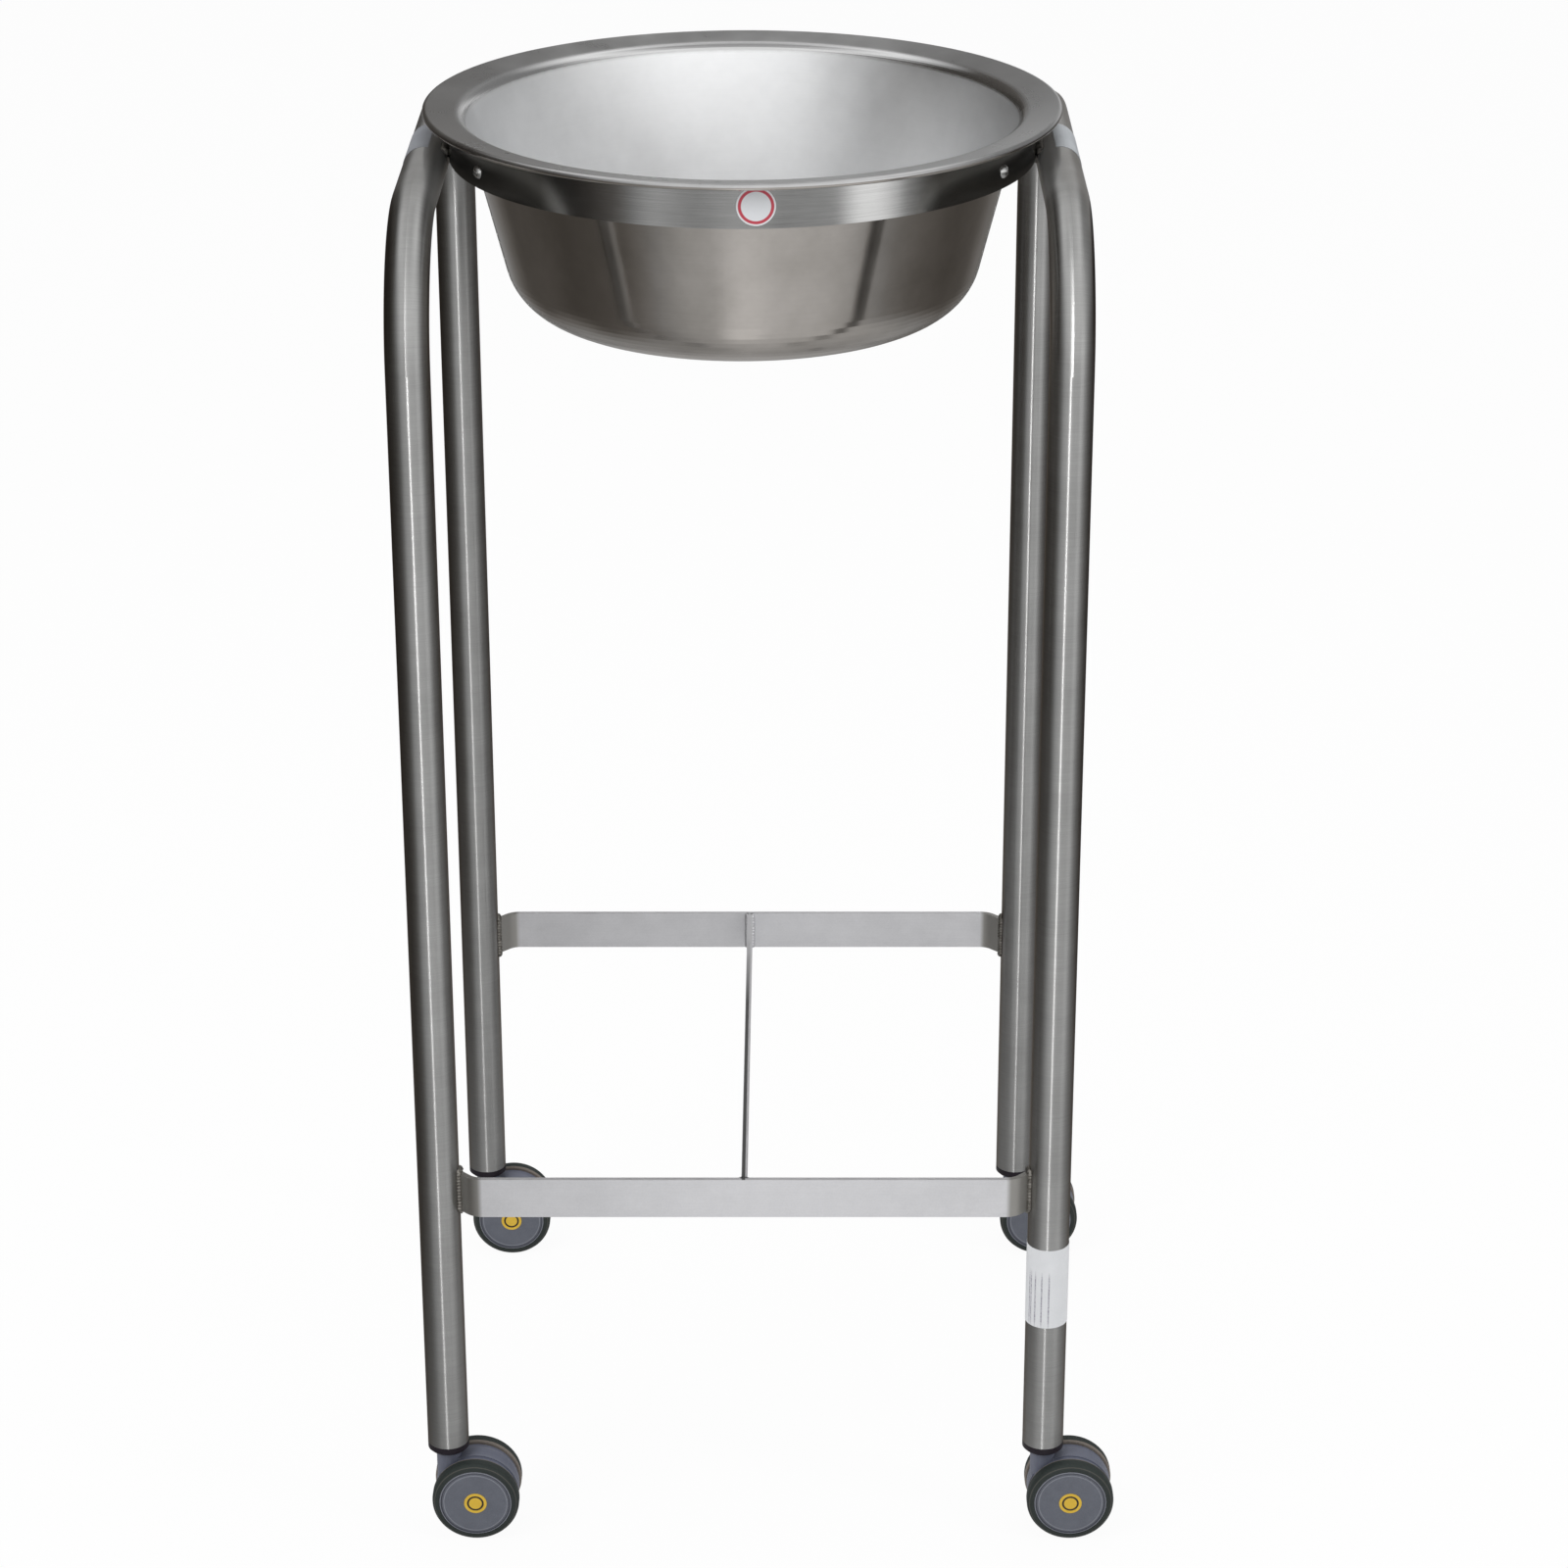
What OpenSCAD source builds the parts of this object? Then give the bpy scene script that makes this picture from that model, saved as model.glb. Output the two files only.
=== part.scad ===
// Single basin stand on casters: two bent tube hoops carry a ring, and a lift-out basin hangs in it.
// Millimetres. +Z is up, +X is to the right, and the front faces -Y.
// The origin is on the floor under the middle of the four legs.

/* [Frame tubes] */
// Distance between the centres of the left and right legs
leg_span_w = 370; // [340:1:410]
// Distance between the centres of the front and rear legs
leg_span_d = 358; // [310:1:400]
// Height of the centre line of each hoop's top run above the floor
hoop_h = 831.5; // [760:0.5:900]
// Outer diameter of the tube
tube_d = 25.4; // [22:0.1:28]
// Wall of the tube
tube_wall = 1.6; // [1:0.1:2.4]
// Centre line radius of the bends
bend_r = 76; // [55:1:100]

/* [Ring] */
// Height of the flat bar that the ring is rolled from
ring_bar_h = 25.4; // [20:0.1:30]
// Thickness of that bar
ring_bar_t = 3.2; // [2.5:0.1:4]
// Height of the ring's lower edge above the centre line of the top runs
ring_rise = 3.3; // [1.5:0.1:6]
// Angle of the rivets from the ring's front and rear middle
rivet_angle = 60; // [45:1:68]
// Height of the rivets above the ring's lower edge
rivet_h = 9.6; // [7:0.1:14]
// Diameter of the domed rivet heads
rivet_head_d = 8; // [6:0.1:10]
// Height of the domed rivet heads
rivet_head_t = 2.6; // [1.6:0.1:3.4]
// Diameter of the rivet shanks
rivet_d = 4; // [3:0.1:5]

/* [Brace] */
// Height of the brace bars' lower edges above the floor
brace_h = 226; // [120:1:420]
// Height of the flat bar
brace_bar_h = 25.4; // [18:0.1:32]
// Thickness of the flat bar
brace_bar_t = 3.2; // [2.5:0.1:4]
// Distance from the leg row's centre line out to the middle of the bar's flat run
brace_offset = 11; // [9:0.1:13]
// Gap across from the inside of a leg to where the bar's bend begins
brace_end_run = 14.3; // [13:0.1:18]
// Angle of the bend at each end
brace_bend_a = 45; // [40:1:50]
// Centre line radius of that bend
brace_bend_r = 12; // [8:0.5:14]

/* [Basin] */
// How far the rim reaches out past the ring
rim_reach = 14.76; // [10:0.02:20]
// Depth outside, from the top of the rim to the bottom
basin_depth = 124.5; // [100:0.5:150]
// Gap between the ring and the bowl where the wall meets the rolled mouth
mouth_gap = 7.04; // [6:0.02:10]
// Thickness of the sheet
sheet_t = 0.9; // [0.7:0.05:1.2]
// Lean of the wall from vertical
wall_lean = 14.3; // [8:0.1:18]
// Radius of the corner between wall and bottom
corner_r = 37; // [20:0.5:45]
// Radius of the rolled mouth
mouth_r = 8; // [6:0.25:9]
// Upward slope of the rim
rim_slope = 9; // [5:0.5:12]
// Radius of the curled hem round the rim
hem_r = 1.6; // [1.3:0.05:2]

/* [Casters] */
// Diameter of the wheels
wheel_d = 54; // [48:0.5:60]
// Width of each wheel
wheel_w = 9.2; // [8:0.1:12]
// Distance from the swivel axis back to the axle
trail = 17; // [15:0.1:20]
// Radius of the tyre where it sits on the hub
tyre_seat_r = 22.6; // [20.5:0.1:23]
// Width of the caster body between the wheels
body_w = 18; // [16:0.1:21]
// Gap between the body and each wheel
wheel_gap = 1; // [0.6:0.1:1.4]
// Diameter of the neck that holds the stem
neck_d = 15.2; // [14:0.1:15.6]
// Height of the neck's top above the wheels
neck_rise = 1.7; // [1:0.1:6]
// Diameter of the axle
axle_d = 6; // [5:0.1:7]
// Diameter of the stem inside the neck
stem_low_d = 8; // [7:0.1:9]
// Diameter of the stem inside the leg
stem_top_d = 10; // [9.4:0.1:11]
// Thickness of the socket's collar below the leg
collar_t = 5.4; // [3:0.1:7]
// Length of the socket inside the leg
socket_l = 35; // [30:1:45]

/* [Labels] */
// Length of the paper label round the front right leg
leg_label_l = 54; // [40:1:70]
// Gap between that label and the brace bar above it
leg_label_gap = 23.5; // [5:0.5:40]
// Length of the labels over the top runs
hoop_label_l = 54; // [40:1:66]
// Shift of those labels towards the rear
hoop_label_shift = -2; // [-10:0.5:10]
// Diameter of the round sticker on the ring
ring_sticker_d = 22; // [16:0.5:24]
// Angle of that sticker to the right of the ring's front middle
ring_sticker_a = 3.1; // [0:0.1:10]
// Diameter of the round stickers on the wheels
wheel_sticker_d = 14; // [10:0.5:18]
// Thickness of labels and stickers
label_t = 0.2; // [0.1:0.05:0.4]

/* [Hidden] */
$fn = 96;
// overrun of a cutting shape past what it cuts
over = 1;
STEEL = [0.62, 0.61, 0.60];
SATIN = [0.70, 0.70, 0.71];
BASIN_STEEL = [0.66, 0.66, 0.65];
BLACK = [0.07, 0.06, 0.08];
SLATE = [0.36, 0.38, 0.44];
TYRE_BLACK = [0.15, 0.17, 0.17];
PAPER = [0.88, 0.89, 0.90];
YELLOW = [0.84, 0.66, 0.16];

// derived sizes of the frame
tube_r = tube_d / 2;
leg_x = leg_span_w / 2;
leg_y = leg_span_d / 2;
run_half = leg_y - bend_r;
bend_z = hoop_h - bend_r;

// caster stack, from the floor up to the leg
wheel_r = wheel_d / 2;
swivel_gap = 0.1;
flange_t = 0.8;
neck_top = wheel_d + neck_rise;
flange_z = neck_top + swivel_gap;
collar_z = flange_z + flange_t;
leg_end = collar_z + collar_t;
collar_taper = 1.6;

// the ring's lower outer edge meets the inner flanks of the two top runs
ring_z = hoop_h + ring_rise;
ring_top = ring_z + ring_bar_h;
ring_r = leg_x - sqrt(tube_r * tube_r - ring_rise * ring_rise);
ring_in_r = ring_r - ring_bar_t;
rivet_tail_d = rivet_d * 1.5;
rivet_tail_t = rivet_d * 0.25;

// weld beads between the ring and the top runs
ring_weld_l = 40;
ring_bead_r = 4;
ring_bead_low_r = 2.2;

// end of a brace bar, measured from the leg's centre in a plan view of the front left leg
bar_half = leg_x - tube_r - brace_end_run;
slant_x = leg_x - bar_half - brace_bend_r * sin(brace_bend_a);
slant_y = brace_bend_r * (1 - cos(brace_bend_a)) - brace_offset;
slant_l = slant_x * cos(brace_bend_a) - slant_y * sin(brace_bend_a);
slant_miss = slant_x * sin(brace_bend_a) + slant_y * cos(brace_bend_a);
bar_bead_r = 2.4;
bar_bead_past = 2.5;
cross_bead_r = 2;

// the rim rests on the ring's inner top edge
seat_gap = 0.3;
mouth_x = ring_in_r - mouth_gap;
roll_x = mouth_x + mouth_r * cos(wall_lean);
roll_end_x = roll_x - mouth_r * sin(rim_slope);
seat_z = ring_top + seat_gap + sheet_t / 2 / cos(rim_slope);
roll_z = seat_z + (roll_end_x - ring_in_r) * tan(rim_slope) - mouth_r * cos(rim_slope);
mouth_z = roll_z + mouth_r * sin(wall_lean);
hem_x = ring_r + rim_reach - hem_r - sheet_t / 2;
hem_start_x = hem_x - hem_r * sin(rim_slope);
hem_z = seat_z + (hem_start_x - ring_in_r) * tan(rim_slope) - hem_r * cos(rim_slope);
rim_top = hem_z + hem_r + sheet_t / 2;
hem_end_a = -100;
bottom_z = rim_top - basin_depth + sheet_t / 2;
corner_z = bottom_z + corner_r;
corner_x = mouth_x - (mouth_z - corner_z + corner_r * sin(wall_lean)) * tan(wall_lean)
    - corner_r * cos(wall_lean);

// caster body
body_half = body_w / 2;
wheel_in_y = body_half + wheel_gap;
boss_gap = 0.2;
boss_half = wheel_in_y - boss_gap;
boss_r = axle_d;
hood_inset = 1;
hood_r = wheel_r - hood_inset;
hood_in_r = (axle_d / 2 + boss_r) / 2;
hood_step = 0.8;
hood_step_share = 0.62;
hood_skin = 2.4;
hood_web = 1.6;
hood_start_a = -20;
hood_sweep_a = 220;
fit_gap = 0.05;
neck_floor = 4.5;
stem_tip_drop = 2.5;
stem_tip = wheel_r - stem_tip_drop;
stem_tip_gap = 0.5;
flange_inset = 0.6;
flange_r = neck_d / 2 - flange_inset;
plug_r = tube_r - tube_wall;
stem_chamfer = 1;
grip_depth = 0.8;
grip_proud = 0.4;
grip_h = 3;
grip_below_top = 11;
grip_split_a = 20;
grip_z = leg_end + socket_l - grip_below_top;
stem_end_l = 3;
stem_end = grip_z + grip_h + stem_end_l;

// wheel
tread_round_share = 0.82;
tread_round = (wheel_r - tyre_seat_r) * tread_round_share;
tread_chamfer = 0.8;
hub_edge = 0.5;
hub_face_t = 2.8;
hub_rim_t = 2.6;
hub_boss_r = axle_d * 0.9;
groove_in = 1.1;
groove_w = 1.6;
groove_t = 0.4;
axle_end_gap = 0.6;
hub_cap_t = 1.6;
hub_bore_l = wheel_w - hub_cap_t;
axle_half = wheel_in_y + hub_bore_l - axle_end_gap;

// labels: the film of glue, how far a top run's label goes past the top, and the leg label's open seam
glue_t = 0.05;
label_past_a = 10;
label_seam_a = 10;

CORNERS = [["front_left", -1, -1], ["front_right", 1, -1], ["rear_left", -1, 1], ["rear_right", 1, 1]];
WHEELS = [["front", -1], ["rear", 1]];
WHEEL_PARTS = ["tyre", "hub", "sticker"];

// Points along an arc about c, from angle a0 to a1
function arc(c, r, a0, a1, n) =
    [for (i = [0:n]) c + r * [cos(a0 + (a1 - a0) * i / n), sin(a0 + (a1 - a0) * i / n)]];

module at_corner(c) {
    translate([c[1] * leg_x, c[2] * leg_y, 0]) children();
}

// Puts a piece that turns about its own Z axis on a caster's axle, facing side -1 front or 1 rear
module on_axle(side) {
    translate([trail, 0, wheel_r]) rotate([-side * 90, 0, 0]) children();
}

module tube(l) {
    difference() {
        cylinder(r = tube_r, h = l);
        translate([0, 0, -over]) cylinder(r = tube_r - tube_wall, h = l + 2 * over);
    }
}

// Front bend of a hoop, from the top of the leg to the start of the top run
module tube_bend() {
    translate([0, -run_half, bend_z])
        rotate([90, 0, -90])
            rotate_extrude(angle = 90)
                translate([bend_r, 0])
                    difference() {
                        circle(r = tube_r);
                        circle(r = tube_r - tube_wall);
                    }
}

// One length of tube bent into an upside-down U that makes a front and a rear leg
module hoop_tube() {
    for (s = [0, 1])
        mirror([0, s, 0]) {
            translate([0, -leg_y, leg_end]) tube(bend_z - leg_end);
            tube_bend();
        }
    translate([0, -run_half, hoop_h]) rotate([-90, 0, 0]) tube(2 * run_half);
}

module left_hoop_tube() {
    color(STEEL) translate([-leg_x, 0, 0]) hoop_tube();
}

module right_hoop_tube() {
    color(STEEL) translate([leg_x, 0, 0]) hoop_tube();
}

// Solid rods in the places of the tubes, to cut what is fitted against them
module leg_rods() {
    for (c = CORNERS)
        at_corner(c) cylinder(r = tube_r, h = bend_z);
}

module run_rods() {
    for (s = [-1, 1])
        translate([s * leg_x, -run_half, hoop_h]) rotate([-90, 0, 0]) cylinder(r = tube_r, h = 2 * run_half);
}

module rivet_places() {
    for (a = [rivet_angle, 180 - rivet_angle, 180 + rivet_angle, -rivet_angle])
        rotate([0, 0, a]) translate([0, -ring_in_r, ring_z + rivet_h]) rotate([90, 0, 0]) children();
}

// Flat bar rolled into a ring and welded between the hoops
module basin_ring() {
    color(STEEL) difference() {
        translate([0, 0, ring_z]) cylinder(r = ring_r, h = ring_bar_h, $fn = 180);
        translate([0, 0, ring_z - over]) cylinder(r = ring_in_r, h = ring_bar_h + 2 * over, $fn = 180);
        rivet_places() translate([0, 0, -over]) cylinder(r = rivet_d / 2, h = ring_bar_t + 2 * over, $fn = 32);
    }
}

// Cap of a sphere, d across and t high
module dome(d, t) {
    r = (d * d / 4 + t * t) / (2 * t);
    rise_a = asin((r - t) / r);
    rotate_extrude($fn = 48) polygon(concat([[0, 0]], arc([0, t - r], r, rise_a, 90, 8)));
}

// Rivets with a dome outside and a flat tail inside
module ring_rivets() {
    color(SATIN) rivet_places() {
        translate([0, 0, ring_bar_t]) dome(rivet_head_d, rivet_head_t);
        cylinder(r = rivet_d / 2, h = ring_bar_t + rivet_head_t / 2, $fn = 32);
        translate([0, 0, -rivet_tail_t]) cylinder(r = rivet_tail_d / 2, h = rivet_tail_t, $fn = 32);
    }
}

// Beads in the grooves above and below the line where the ring meets each top run
module ring_welds() {
    color(SATIN) difference() {
        for (s = [-1, 1]) {
            translate([s * (ring_r + ring_bead_r * 0.65), ring_weld_l / 2, ring_z + ring_bead_r * 1.3])
                rotate([90, 0, 0]) cylinder(r = ring_bead_r, h = ring_weld_l, $fn = 32);
            translate([s * (ring_r - ring_bead_low_r * 0.35), ring_weld_l / 2, ring_z - ring_bead_low_r * 0.5])
                rotate([90, 0, 0]) cylinder(r = ring_bead_low_r, h = ring_weld_l, $fn = 32);
        }
        run_rods();
        translate([0, 0, ring_z]) cylinder(r = ring_r, h = ring_bar_h, $fn = 180);
    }
}

// Right half of one face of a brace bar, seen from above: side 1 faces the legs, -1 faces away
function bar_face(side) =
    let (bend = arc([bar_half, brace_bend_r], brace_bend_r - side * brace_bar_t / 2, -90, brace_bend_a - 90, 8))
    concat(bend, [bend[len(bend) - 1] + slant_l * [cos(brace_bend_a), sin(brace_bend_a)]]);

function backwards(list) = [for (i = [len(list) - 1:-1:0]) list[i]];

// Front brace bar, uncut at the legs
module bar_solid() {
    right = concat(bar_face(1), backwards(bar_face(-1)));
    left = [for (p = backwards(right)) [-p[0], p[1]]];
    translate([0, -leg_y - brace_offset, brace_h])
        linear_extrude(brace_bar_h) polygon(concat(right, left));
}

module brace_bar() {
    color(SATIN) difference() {
        bar_solid();
        leg_rods();
    }
}

// Flat bar with both ends bent back and welded to the inner sides of the front legs
module front_brace_bar() {
    brace_bar();
}

// The same bar between the rear legs
module rear_brace_bar() {
    mirror([0, 1, 0]) brace_bar();
}

// Flat bar on edge that joins the middles of the other two
module cross_brace_bar() {
    l = 2 * (leg_y + brace_offset) - brace_bar_t;
    color(SATIN) translate([-brace_bar_t / 2, -l / 2, brace_h]) cube([brace_bar_t, l, brace_bar_h]);
}

// Place on the leg's surface where one face of the slanted bar end meets it: side 1 is the outer face
function bar_corner(side) =
    let (miss = slant_miss - side * brace_bar_t / 2)
    let (back = slant_l - sqrt(tube_r * tube_r - miss * miss))
    [leg_x - slant_x + back * cos(brace_bend_a) + side * brace_bar_t / 2 * sin(brace_bend_a),
     slant_y + back * sin(brace_bend_a) - side * brace_bar_t / 2 * cos(brace_bend_a) - leg_y];

// Beads down both faces of each bar end, and in the corners of the cross bar
module brace_welds() {
    color(SATIN) difference() {
        for (sx = [0, 1]) for (sy = [0, 1])
            mirror([sx, 0, 0]) mirror([0, sy, 0]) {
                for (side = [-1, 1])
                    translate([bar_corner(side)[0], bar_corner(side)[1], brace_h - bar_bead_past])
                        cylinder(r = bar_bead_r, h = brace_bar_h + 2 * bar_bead_past, $fn = 32);
                translate([brace_bar_t / 2, -leg_y - brace_offset + brace_bar_t / 2, brace_h])
                    cylinder(r = cross_bead_r, h = brace_bar_h, $fn = 32);
            }
        leg_rods();
        bar_solid();
        mirror([0, 1, 0]) bar_solid();
        cross_brace_bar();
    }
}

// Paper label folded over a top run
module hoop_label(s) {
    color(PAPER) translate([s * leg_x, hoop_label_shift - hoop_label_l / 2, hoop_h])
        rotate([-90, 0, 0]) rotate([0, 0, s > 0 ? -90 - label_past_a : 90])
            rotate_extrude(angle = 180 + label_past_a)
                translate([tube_r + glue_t, 0]) square([label_t, hoop_label_l]);
}

module left_hoop_label() {
    hoop_label(-1);
}

module right_hoop_label() {
    hoop_label(1);
}

// Paper label wrapped round the front right leg, with its seam at the back
module leg_label() {
    color(PAPER) at_corner(CORNERS[1]) translate([0, 0, brace_h - leg_label_gap - leg_label_l])
        rotate([0, 0, 90 + label_seam_a / 2]) rotate_extrude(angle = 360 - label_seam_a)
            translate([tube_r + glue_t, 0]) square([label_t, leg_label_l]);
}

// Round sticker on the outside of the ring
module ring_sticker() {
    color(PAPER) intersection() {
        translate([0, 0, ring_z]) difference() {
            cylinder(r = ring_r + glue_t + label_t, h = ring_bar_h, $fn = 180);
            translate([0, 0, -over]) cylinder(r = ring_r + glue_t, h = ring_bar_h + 2 * over, $fn = 180);
        }
        rotate([0, 0, ring_sticker_a]) translate([0, 0, ring_z + ring_bar_h / 2])
            rotate([90, 0, 0]) cylinder(r = ring_sticker_d / 2, h = ring_r + over);
    }
}

// Bowl spun from one sheet, with a rolled mouth, a sloping rim and a curled hem
module basin() {
    h = sheet_t / 2;
    // the path that each face of the sheet follows; e is 1 for the inside of the bowl, -1 for the outside
    function face(e) = concat(
        [[0, bottom_z + e * h]],
        arc([corner_x, corner_z], corner_r - e * h, -90, -wall_lean, 14),
        arc([roll_x, roll_z], mouth_r + e * h, 180 - wall_lean, 90 + rim_slope, 8),
        arc([hem_x, hem_z], hem_r + e * h, 90 + rim_slope, hem_end_a, 12)
    );
    inside = face(1);
    outside = face(-1);
    color(BASIN_STEEL) rotate_extrude($fn = 180)
        polygon(concat(inside, backwards(outside)));
}

// Black plastic plug in the leg's end, with a tapered collar under it
module leg_socket() {
    color(BLACK) rotate_extrude() polygon([
        [stem_top_d / 2, collar_z],
        [tube_r - collar_taper, collar_z],
        [tube_r, collar_z + collar_taper],
        [tube_r, leg_end],
        [plug_r, leg_end],
        [plug_r, leg_end + socket_l],
        [stem_top_d / 2, leg_end + socket_l],
        [stem_top_d / 2, grip_z + grip_h],
        [stem_top_d / 2 + grip_proud, grip_z + grip_h],
        [stem_top_d / 2 + grip_proud, grip_z],
        [stem_top_d / 2, grip_z]
    ]);
}

// Turned steel pin that the caster body swivels on
module stem() {
    color(STEEL) rotate_extrude($fn = 48) polygon([
        [0, stem_tip],
        [stem_low_d / 2, stem_tip],
        [stem_low_d / 2, flange_z],
        [flange_r, flange_z],
        [flange_r, collar_z],
        [stem_top_d / 2, collar_z],
        [stem_top_d / 2, grip_z],
        [stem_top_d / 2 - grip_depth, grip_z],
        [stem_top_d / 2 - grip_depth, grip_z + grip_h],
        [stem_top_d / 2, grip_z + grip_h],
        [stem_top_d / 2, stem_end - stem_chamfer],
        [stem_top_d / 2 - stem_chamfer, stem_end],
        [0, stem_end]
    ]);
}

// Split spring rings that hold the stems in their sockets
module stem_grip_rings() {
    color(STEEL) for (c = CORNERS)
        at_corner(c) translate([0, 0, grip_z]) rotate([0, 0, grip_split_a / 2])
            rotate_extrude(angle = 360 - grip_split_a)
                translate([stem_top_d / 2 - grip_depth, 0]) square([grip_depth + grip_proud, grip_h]);
}

// Moulded body: a neck for the stem, a boss for the axle, and a hollow hood between the wheels
module caster_body() {
    step_half = body_half * hood_step_share;
    web_in = body_half - hood_web;
    color(SLATE) difference() {
        union() {
            translate([trail, 0, wheel_r]) rotate([90, 0, 0]) {
                rotate([0, 0, hood_start_a]) rotate_extrude(angle = hood_sweep_a) polygon([
                    [hood_in_r, -body_half],
                    [hood_r - hood_step, -body_half],
                    [hood_r - hood_step, -step_half],
                    [hood_r, -step_half],
                    [hood_r, step_half],
                    [hood_r - hood_step, step_half],
                    [hood_r - hood_step, body_half],
                    [hood_in_r, body_half],
                    [hood_in_r, web_in],
                    [hood_r - hood_skin, web_in],
                    [hood_r - hood_skin, -web_in],
                    [hood_in_r, -web_in]
                ]);
                translate([0, 0, -boss_half]) cylinder(r = boss_r, h = 2 * boss_half, $fn = 48);
            }
            translate([0, 0, stem_tip - neck_floor]) cylinder(r = neck_d / 2, h = neck_top - stem_tip + neck_floor);
        }
        translate([0, 0, stem_tip - stem_tip_gap])
            cylinder(r = stem_low_d / 2 + fit_gap, h = neck_top - stem_tip + stem_tip_gap + over, $fn = 48);
        translate([trail, boss_half + over, wheel_r]) rotate([90, 0, 0])
            cylinder(r = axle_d / 2, h = 2 * (boss_half + over), $fn = 48);
    }
}

// Steel pin pressed through the body, with a wheel on each end
module axle() {
    color(STEEL) translate([trail, axle_half, wheel_r]) rotate([90, 0, 0])
        cylinder(r = axle_d / 2, h = 2 * axle_half, $fn = 48);
}

// Rubber tread ring; its inner face is at Z 0 and its outer face at wheel_w
module tyre() {
    color(TYRE_BLACK) rotate_extrude($fn = 120) polygon(concat(
        [[tyre_seat_r, 0], [wheel_r - tread_chamfer, 0], [wheel_r, tread_chamfer]],
        arc([wheel_r - tread_round, wheel_w - tread_round], tread_round, 0, 90, 6),
        [[tyre_seat_r, wheel_w]]
    ));
}

// Moulded wheel centre with a closed, grooved outer face
module hub() {
    groove_r = tyre_seat_r - groove_in;
    color(SLATE) rotate_extrude($fn = 120) polygon([
        [axle_d / 2 + fit_gap, 0],
        [hub_boss_r, 0],
        [hub_boss_r, wheel_w - hub_face_t],
        [tyre_seat_r - hub_rim_t, wheel_w - hub_face_t],
        [tyre_seat_r - hub_rim_t, 0],
        [tyre_seat_r, 0],
        [tyre_seat_r, wheel_w - hub_edge],
        [tyre_seat_r - hub_edge, wheel_w],
        [groove_r, wheel_w],
        [groove_r, wheel_w - groove_t],
        [groove_r - groove_w, wheel_w - groove_t],
        [groove_r - groove_w, wheel_w],
        [0, wheel_w],
        [0, hub_bore_l],
        [axle_d / 2 + fit_gap, hub_bore_l]
    ]);
}

// Round sticker in the middle of the wheel's outer face
module sticker() {
    color(YELLOW) translate([0, 0, wheel_w + glue_t]) cylinder(r = wheel_sticker_d / 2, h = label_t, $fn = 48);
}

left_hoop_tube();
right_hoop_tube();
basin_ring();
ring_rivets();
ring_welds();
front_brace_bar();
rear_brace_bar();
cross_brace_bar();
brace_welds();
left_hoop_label();
right_hoop_label();
leg_label();
ring_sticker();
stem_grip_rings();
basin();
for (c = CORNERS) {
    at_corner(c) leg_socket();
    at_corner(c) stem();
    at_corner(c) caster_body();
    at_corner(c) axle();
    for (w = WHEELS) {
        at_corner(c) on_axle(w[1]) translate([0, 0, wheel_in_y]) tyre();
        at_corner(c) on_axle(w[1]) translate([0, 0, wheel_in_y]) hub();
        at_corner(c) on_axle(w[1]) translate([0, 0, wheel_in_y]) sticker();
    }
}
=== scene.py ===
"""A basin stand on casters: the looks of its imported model, in metres and in the model's own frame."""

import math
import random

import bpy
from mathutils import Matrix, Vector


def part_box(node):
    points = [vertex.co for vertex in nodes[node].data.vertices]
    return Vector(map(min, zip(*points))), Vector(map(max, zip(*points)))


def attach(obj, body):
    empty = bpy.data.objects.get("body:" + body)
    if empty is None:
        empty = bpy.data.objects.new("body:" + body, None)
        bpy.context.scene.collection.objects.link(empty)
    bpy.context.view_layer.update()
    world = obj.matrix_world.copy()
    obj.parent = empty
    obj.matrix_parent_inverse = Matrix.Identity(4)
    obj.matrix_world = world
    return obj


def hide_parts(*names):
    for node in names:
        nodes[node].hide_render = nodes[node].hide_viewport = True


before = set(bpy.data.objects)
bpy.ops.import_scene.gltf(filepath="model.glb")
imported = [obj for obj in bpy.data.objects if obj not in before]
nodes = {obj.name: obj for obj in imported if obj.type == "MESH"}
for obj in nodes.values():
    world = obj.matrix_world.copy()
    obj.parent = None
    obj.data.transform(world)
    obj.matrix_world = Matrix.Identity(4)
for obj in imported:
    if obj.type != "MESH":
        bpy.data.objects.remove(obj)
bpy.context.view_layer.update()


# The camera of the photograph, found from the edges of the legs and the rim. It looks down at the
# front of the stand from shoulder height. Its angles are in radians.
image_px = 1600
focal_px = 4202.3
sensor_mm = 36
camera_place = (0.0294, -2.3770, 1.4451)
camera_pitch, camera_yaw, camera_roll = 0.40406, -0.00229, -0.00108

camera_data = bpy.data.cameras.new("camera")
camera_data.sensor_width = sensor_mm
camera_data.lens = focal_px * sensor_mm / image_px
camera = bpy.data.objects.new("camera", camera_data)
bpy.context.scene.collection.objects.link(camera)
camera.matrix_world = (
    Matrix.Translation(camera_place)
    @ Matrix.Rotation(-camera_yaw, 4, "Z")
    @ Matrix.Rotation(math.pi / 2 - camera_pitch, 4, "X")
    @ Matrix.Rotation(camera_roll, 4, "Z")
)
bpy.context.scene.camera = camera
bpy.context.scene.view_settings.view_transform = "Standard"


# The stage floor, pale and wider than any view. The camera and reflections see it nearly white,
# and it keeps the shadow of the stand.
floor_half = 15.0
floor_colour = (0.80, 0.80, 0.80, 1.0)
floor_white = 0.95
pure_white = (1.0, 1.0, 1.0, 1.0)


def add(tree, kind, inputs=None, **settings):
    """A new shader node with these settings. An input takes a value or another node's output."""
    made = tree.nodes.new("ShaderNode" + kind)
    for name, value in settings.items():
        setattr(made, name, value)
    for name, value in (inputs or {}).items():
        if isinstance(value, bpy.types.NodeSocket):
            tree.links.new(value, made.inputs[name])
        else:
            made.inputs[name].default_value = value
    return made


def calc(tree, operation, *values):
    """One sum of a Math node, with values or outputs."""
    return add(tree, "Math", dict(enumerate(values)), operation=operation).outputs[0]


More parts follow.
